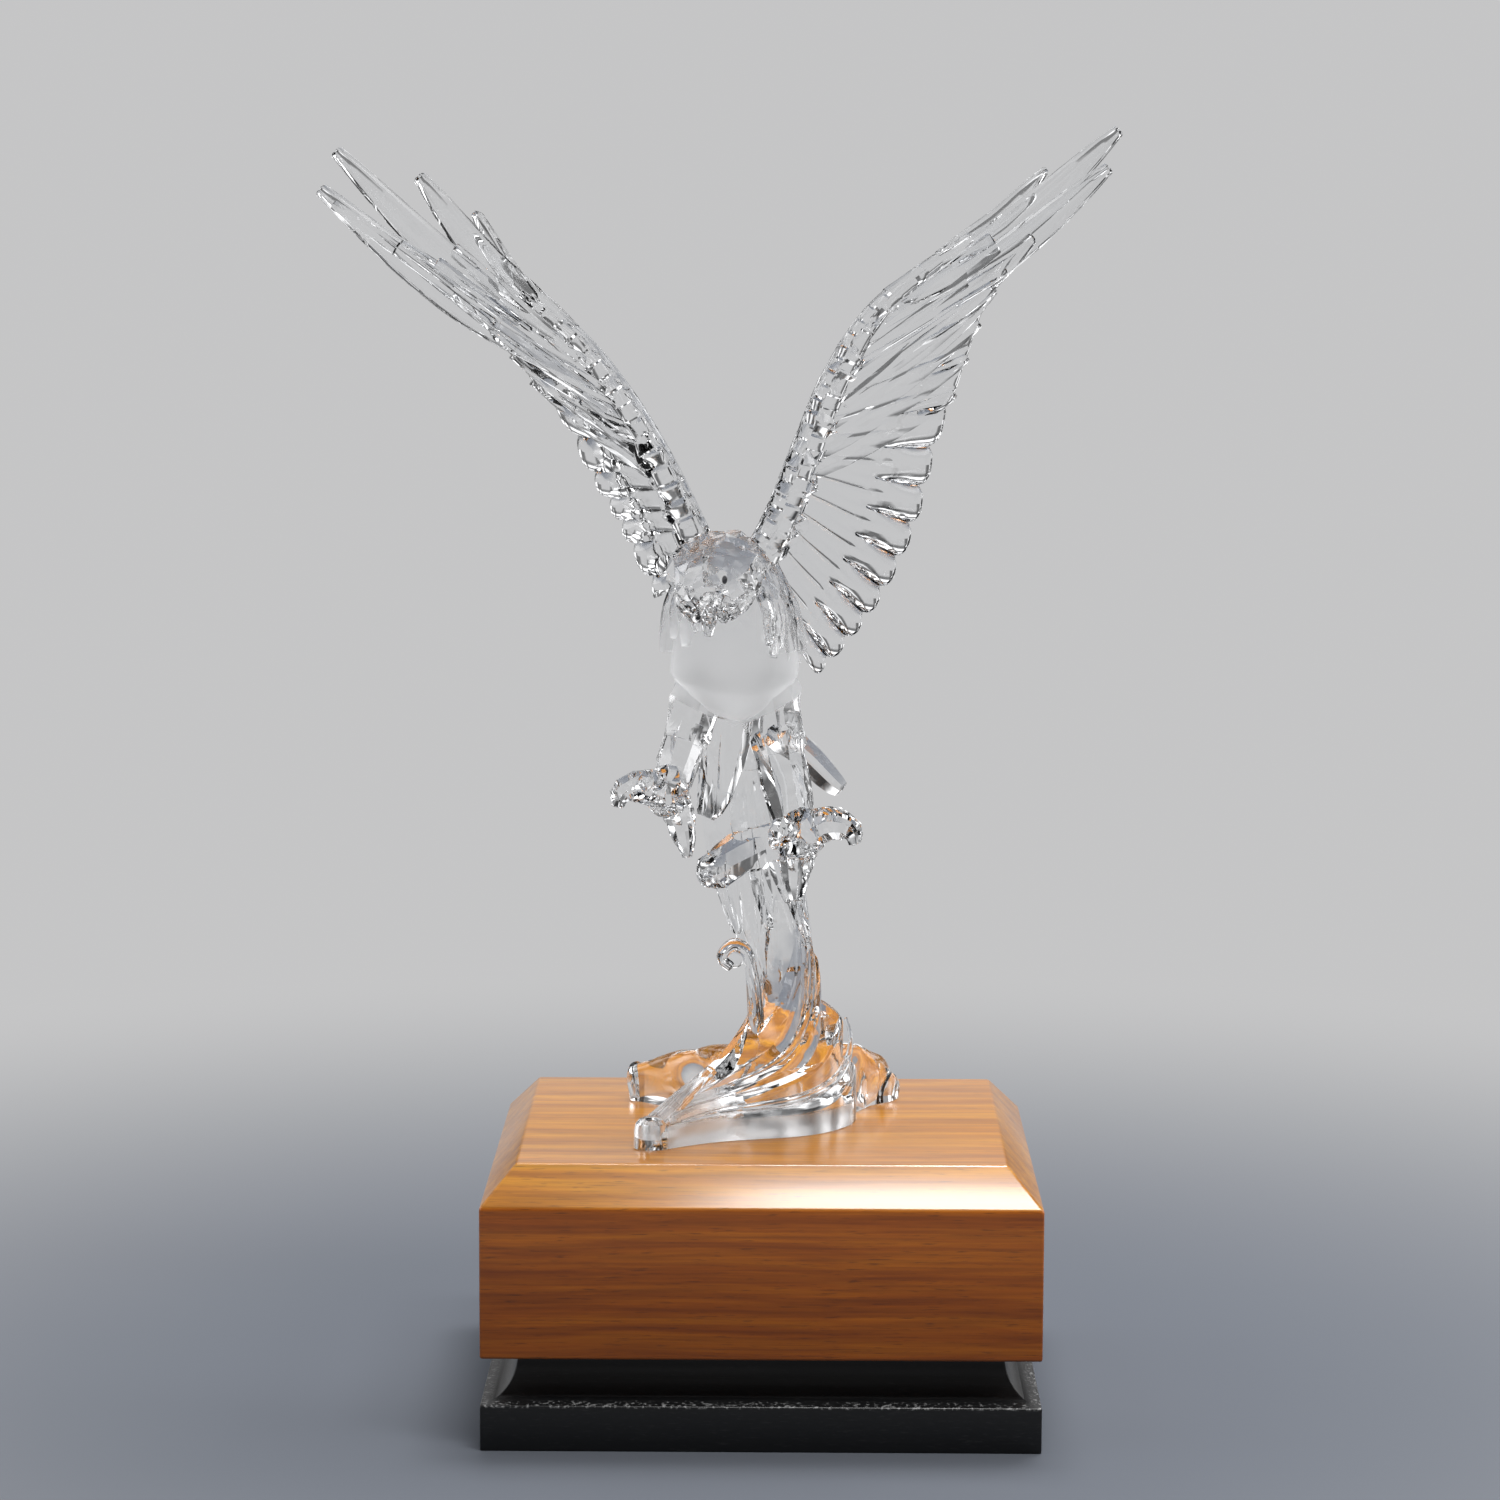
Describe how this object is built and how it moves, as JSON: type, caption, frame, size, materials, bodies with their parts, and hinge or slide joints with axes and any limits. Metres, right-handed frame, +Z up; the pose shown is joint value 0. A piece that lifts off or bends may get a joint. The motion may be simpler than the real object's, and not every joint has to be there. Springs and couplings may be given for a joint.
{
  "type": "acrylic eagle sculpture",
  "caption": "Clear acrylic eagle landing with raised wings on a curling wave, built with a chamfered wooden block over a black coved base.",
  "frame": {"origin": "middle of the black base's underside, on the surface it stands on", "axes": "+X to the viewer's right along the plinth's long side, +Y away from the viewer, +Z up"},
  "size_m": [0.2622, 0.152, 0.4179],
  "materials": {
    "clear_acrylic": "polished clear",
    "wood": "satin lacquered",
    "black_paint": "satin black lacquer over wood"
  },
  "bodies": {
    "root": {"eagle": "clear_acrylic", "wood_block": "wood", "black_base": "black_paint"}
  },
  "joints": []
}
